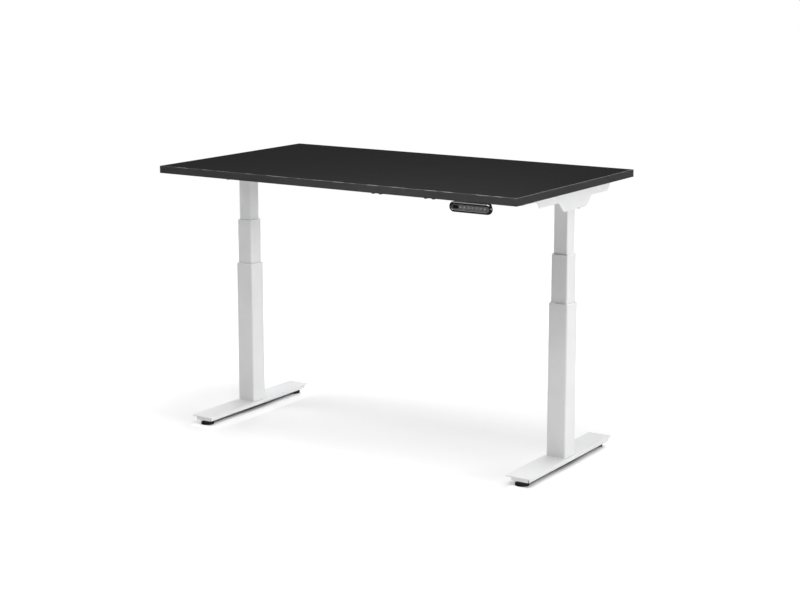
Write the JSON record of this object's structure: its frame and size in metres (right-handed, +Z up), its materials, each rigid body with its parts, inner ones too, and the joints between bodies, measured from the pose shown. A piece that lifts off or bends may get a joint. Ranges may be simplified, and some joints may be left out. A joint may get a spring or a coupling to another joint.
{
  "type": "height adjustable desk",
  "caption": "Desk with a flat rectangular worktop on telescopic columns that raise and lower it between sitting and standing height, with folded feet and a key handset.",
  "frame": {"origin": "on the floor, under the middle of the desk's bounding box", "axes": "+Z up, +X along the worktop towards the handset's end, -Y towards the user"},
  "size_m": [1.4, 0.806, 0.942],
  "materials": {
    "black_board": "satin melamine",
    "black_band": "satin",
    "white_coat": "fine powder coat",
    "collar_plastic": "satin",
    "bush_plastic": "matt",
    "steel": "machined",
    "dark_screws": "black zinc",
    "nut_brass": "machined",
    "gear_casting": "cast",
    "motor_coat": "satin",
    "black_plastic": "fine grain",
    "gloss_black": "polished",
    "panel_grey": "matt",
    "window_dark": "polished, smoked",
    "key_grey": "matt",
    "pad_black": "moulded"
  },
  "bodies": {
    "base": {"left_foot": "white_coat", "right_foot": "white_coat", "left_outer_column": "white_coat", "right_outer_column": "white_coat", "outer_collars": "collar_plastic", "foot_stiffeners": "steel", "foot_bolts": "steel", "levelling_nuts": "steel", "column_base_plates": "steel", "nut_posts": "steel", "lower_nuts": "nut_brass"},
    "top": {"worktop": "black_board", "edge_bands": "black_band", "worktop_screws": "dark_screws", "inner_columns": "white_coat", "inner_bushes": "bush_plastic", "head_gussets": "white_coat", "side_arms": "white_coat", "head_plates": "steel", "frame_bolts": "dark_screws", "gearboxes": "gear_casting", "motors": "motor_coat", "crossbar_sleeve": "white_coat", "crossbar_rails": "white_coat", "control_box": "black_plastic", "control_box_lid": "black_plastic", "control_sockets": "black_plastic", "handset_case": "black_plastic", "handset_bezel": "gloss_black", "handset_panel": "panel_grey", "display_window": "window_dark", "cable_clips": "black_plastic"},
    "left_stage": {"left_middle_column": "white_coat", "left_middle_collar": "collar_plastic", "left_middle_bush": "bush_plastic", "left_carrier": "steel", "left_upper_nut": "nut_brass"},
    "left_upper_screw": {"left_upper_spindle": "steel"},
    "left_lower_screw": {"left_lower_spindle": "steel"},
    "front_left_pad": {"front_left_levelling_foot": "pad_black"},
    "back_left_pad": {"back_left_levelling_foot": "pad_black"},
    "right_stage": {"right_middle_column": "white_coat", "right_middle_collar": "collar_plastic", "right_middle_bush": "bush_plastic", "right_carrier": "steel", "right_upper_nut": "nut_brass"},
    "right_upper_screw": {"right_upper_spindle": "steel"},
    "right_lower_screw": {"right_lower_spindle": "steel"},
    "front_right_pad": {"front_right_levelling_foot": "pad_black"},
    "back_right_pad": {"back_right_levelling_foot": "pad_black"},
    "key_1": {"handset_key_1": "key_grey"},
    "key_2": {"handset_key_2": "key_grey"},
    "key_3": {"handset_key_3": "key_grey"},
    "key_4": {"handset_key_4": "key_grey"},
    "key_5": {"handset_key_5": "key_grey"},
    "key_6": {"handset_key_6": "key_grey"},
    "key_7": {"handset_key_7": "key_grey"}
  },
  "joints": [
    {"name": "lift", "type": "slide", "parent": "base", "child": "top", "axis": [0, 0, 1], "range_m": [-0.289, 0.361]},
    {"name": "left_stage_slide", "type": "slide", "parent": "base", "child": "left_stage", "axis": [0, 0, 1], "range_m": [-0.1445, 0.1805]},
    {"name": "left_upper_screw_turn", "type": "hinge", "parent": "top", "child": "left_upper_screw", "pos_m": [-0.643, 0.018, 0.5], "axis": [0, 0, 1], "range_deg": [-5212, 6508]},
    {"name": "left_lower_screw_turn", "type": "hinge", "parent": "left_stage", "child": "left_lower_screw", "pos_m": [-0.643, 0.018, 0.5], "axis": [0, 0, 1], "range_deg": [-5212, 6508]},
    {"name": "front_left_level", "type": "hinge", "parent": "base", "child": "front_left_pad", "pos_m": [-0.643, -0.239, 0.01], "axis": [0, 0, 1], "range_deg": [-1440, 1440]},
    {"name": "back_left_level", "type": "hinge", "parent": "base", "child": "back_left_pad", "pos_m": [-0.643, 0.275, 0.01], "axis": [0, 0, 1], "range_deg": [-1440, 1440]},
    {"name": "right_stage_slide", "type": "slide", "parent": "base", "child": "right_stage", "axis": [0, 0, 1], "range_m": [-0.1445, 0.1805]},
    {"name": "right_upper_screw_turn", "type": "hinge", "parent": "top", "child": "right_upper_screw", "pos_m": [0.643, 0.018, 0.5], "axis": [0, 0, 1], "range_deg": [-5212, 6508]},
    {"name": "right_lower_screw_turn", "type": "hinge", "parent": "right_stage", "child": "right_lower_screw", "pos_m": [0.643, 0.018, 0.5], "axis": [0, 0, 1], "range_deg": [-5212, 6508]},
    {"name": "front_right_level", "type": "hinge", "parent": "base", "child": "front_right_pad", "pos_m": [0.643, -0.239, 0.01], "axis": [0, 0, 1], "range_deg": [-1440, 1440]},
    {"name": "back_right_level", "type": "hinge", "parent": "base", "child": "back_right_pad", "pos_m": [0.643, 0.275, 0.01], "axis": [0, 0, 1], "range_deg": [-1440, 1440]},
    {"name": "key_1_press", "type": "slide", "parent": "top", "child": "key_1", "axis": [0, 1, 0], "range_m": [0, 0.0006], "stiffness_N_per_m": 1000},
    {"name": "key_2_press", "type": "slide", "parent": "top", "child": "key_2", "axis": [0, 1, 0], "range_m": [0, 0.0006], "stiffness_N_per_m": 1000},
    {"name": "key_3_press", "type": "slide", "parent": "top", "child": "key_3", "axis": [0, 1, 0], "range_m": [0, 0.0006], "stiffness_N_per_m": 1000},
    {"name": "key_4_press", "type": "slide", "parent": "top", "child": "key_4", "axis": [0, 1, 0], "range_m": [0, 0.0006], "stiffness_N_per_m": 1000},
    {"name": "key_5_press", "type": "slide", "parent": "top", "child": "key_5", "axis": [0, 1, 0], "range_m": [0, 0.0006], "stiffness_N_per_m": 1000},
    {"name": "key_6_press", "type": "slide", "parent": "top", "child": "key_6", "axis": [0, 1, 0], "range_m": [0, 0.0006], "stiffness_N_per_m": 1000},
    {"name": "key_7_press", "type": "slide", "parent": "top", "child": "key_7", "axis": [0, 1, 0], "range_m": [0, 0.0006], "stiffness_N_per_m": 1000}
  ],
  "couplings": [
    {"joint": "left_stage_slide", "follows": "lift", "ratio": 0.5},
    {"joint": "left_upper_screw_turn", "follows": "lift", "rad_per_m": 314.16},
    {"joint": "left_lower_screw_turn", "follows": "lift", "rad_per_m": 314.16},
    {"joint": "right_stage_slide", "follows": "lift", "ratio": 0.5},
    {"joint": "right_upper_screw_turn", "follows": "lift", "rad_per_m": 314.16},
    {"joint": "right_lower_screw_turn", "follows": "lift", "rad_per_m": 314.16}
  ]
}
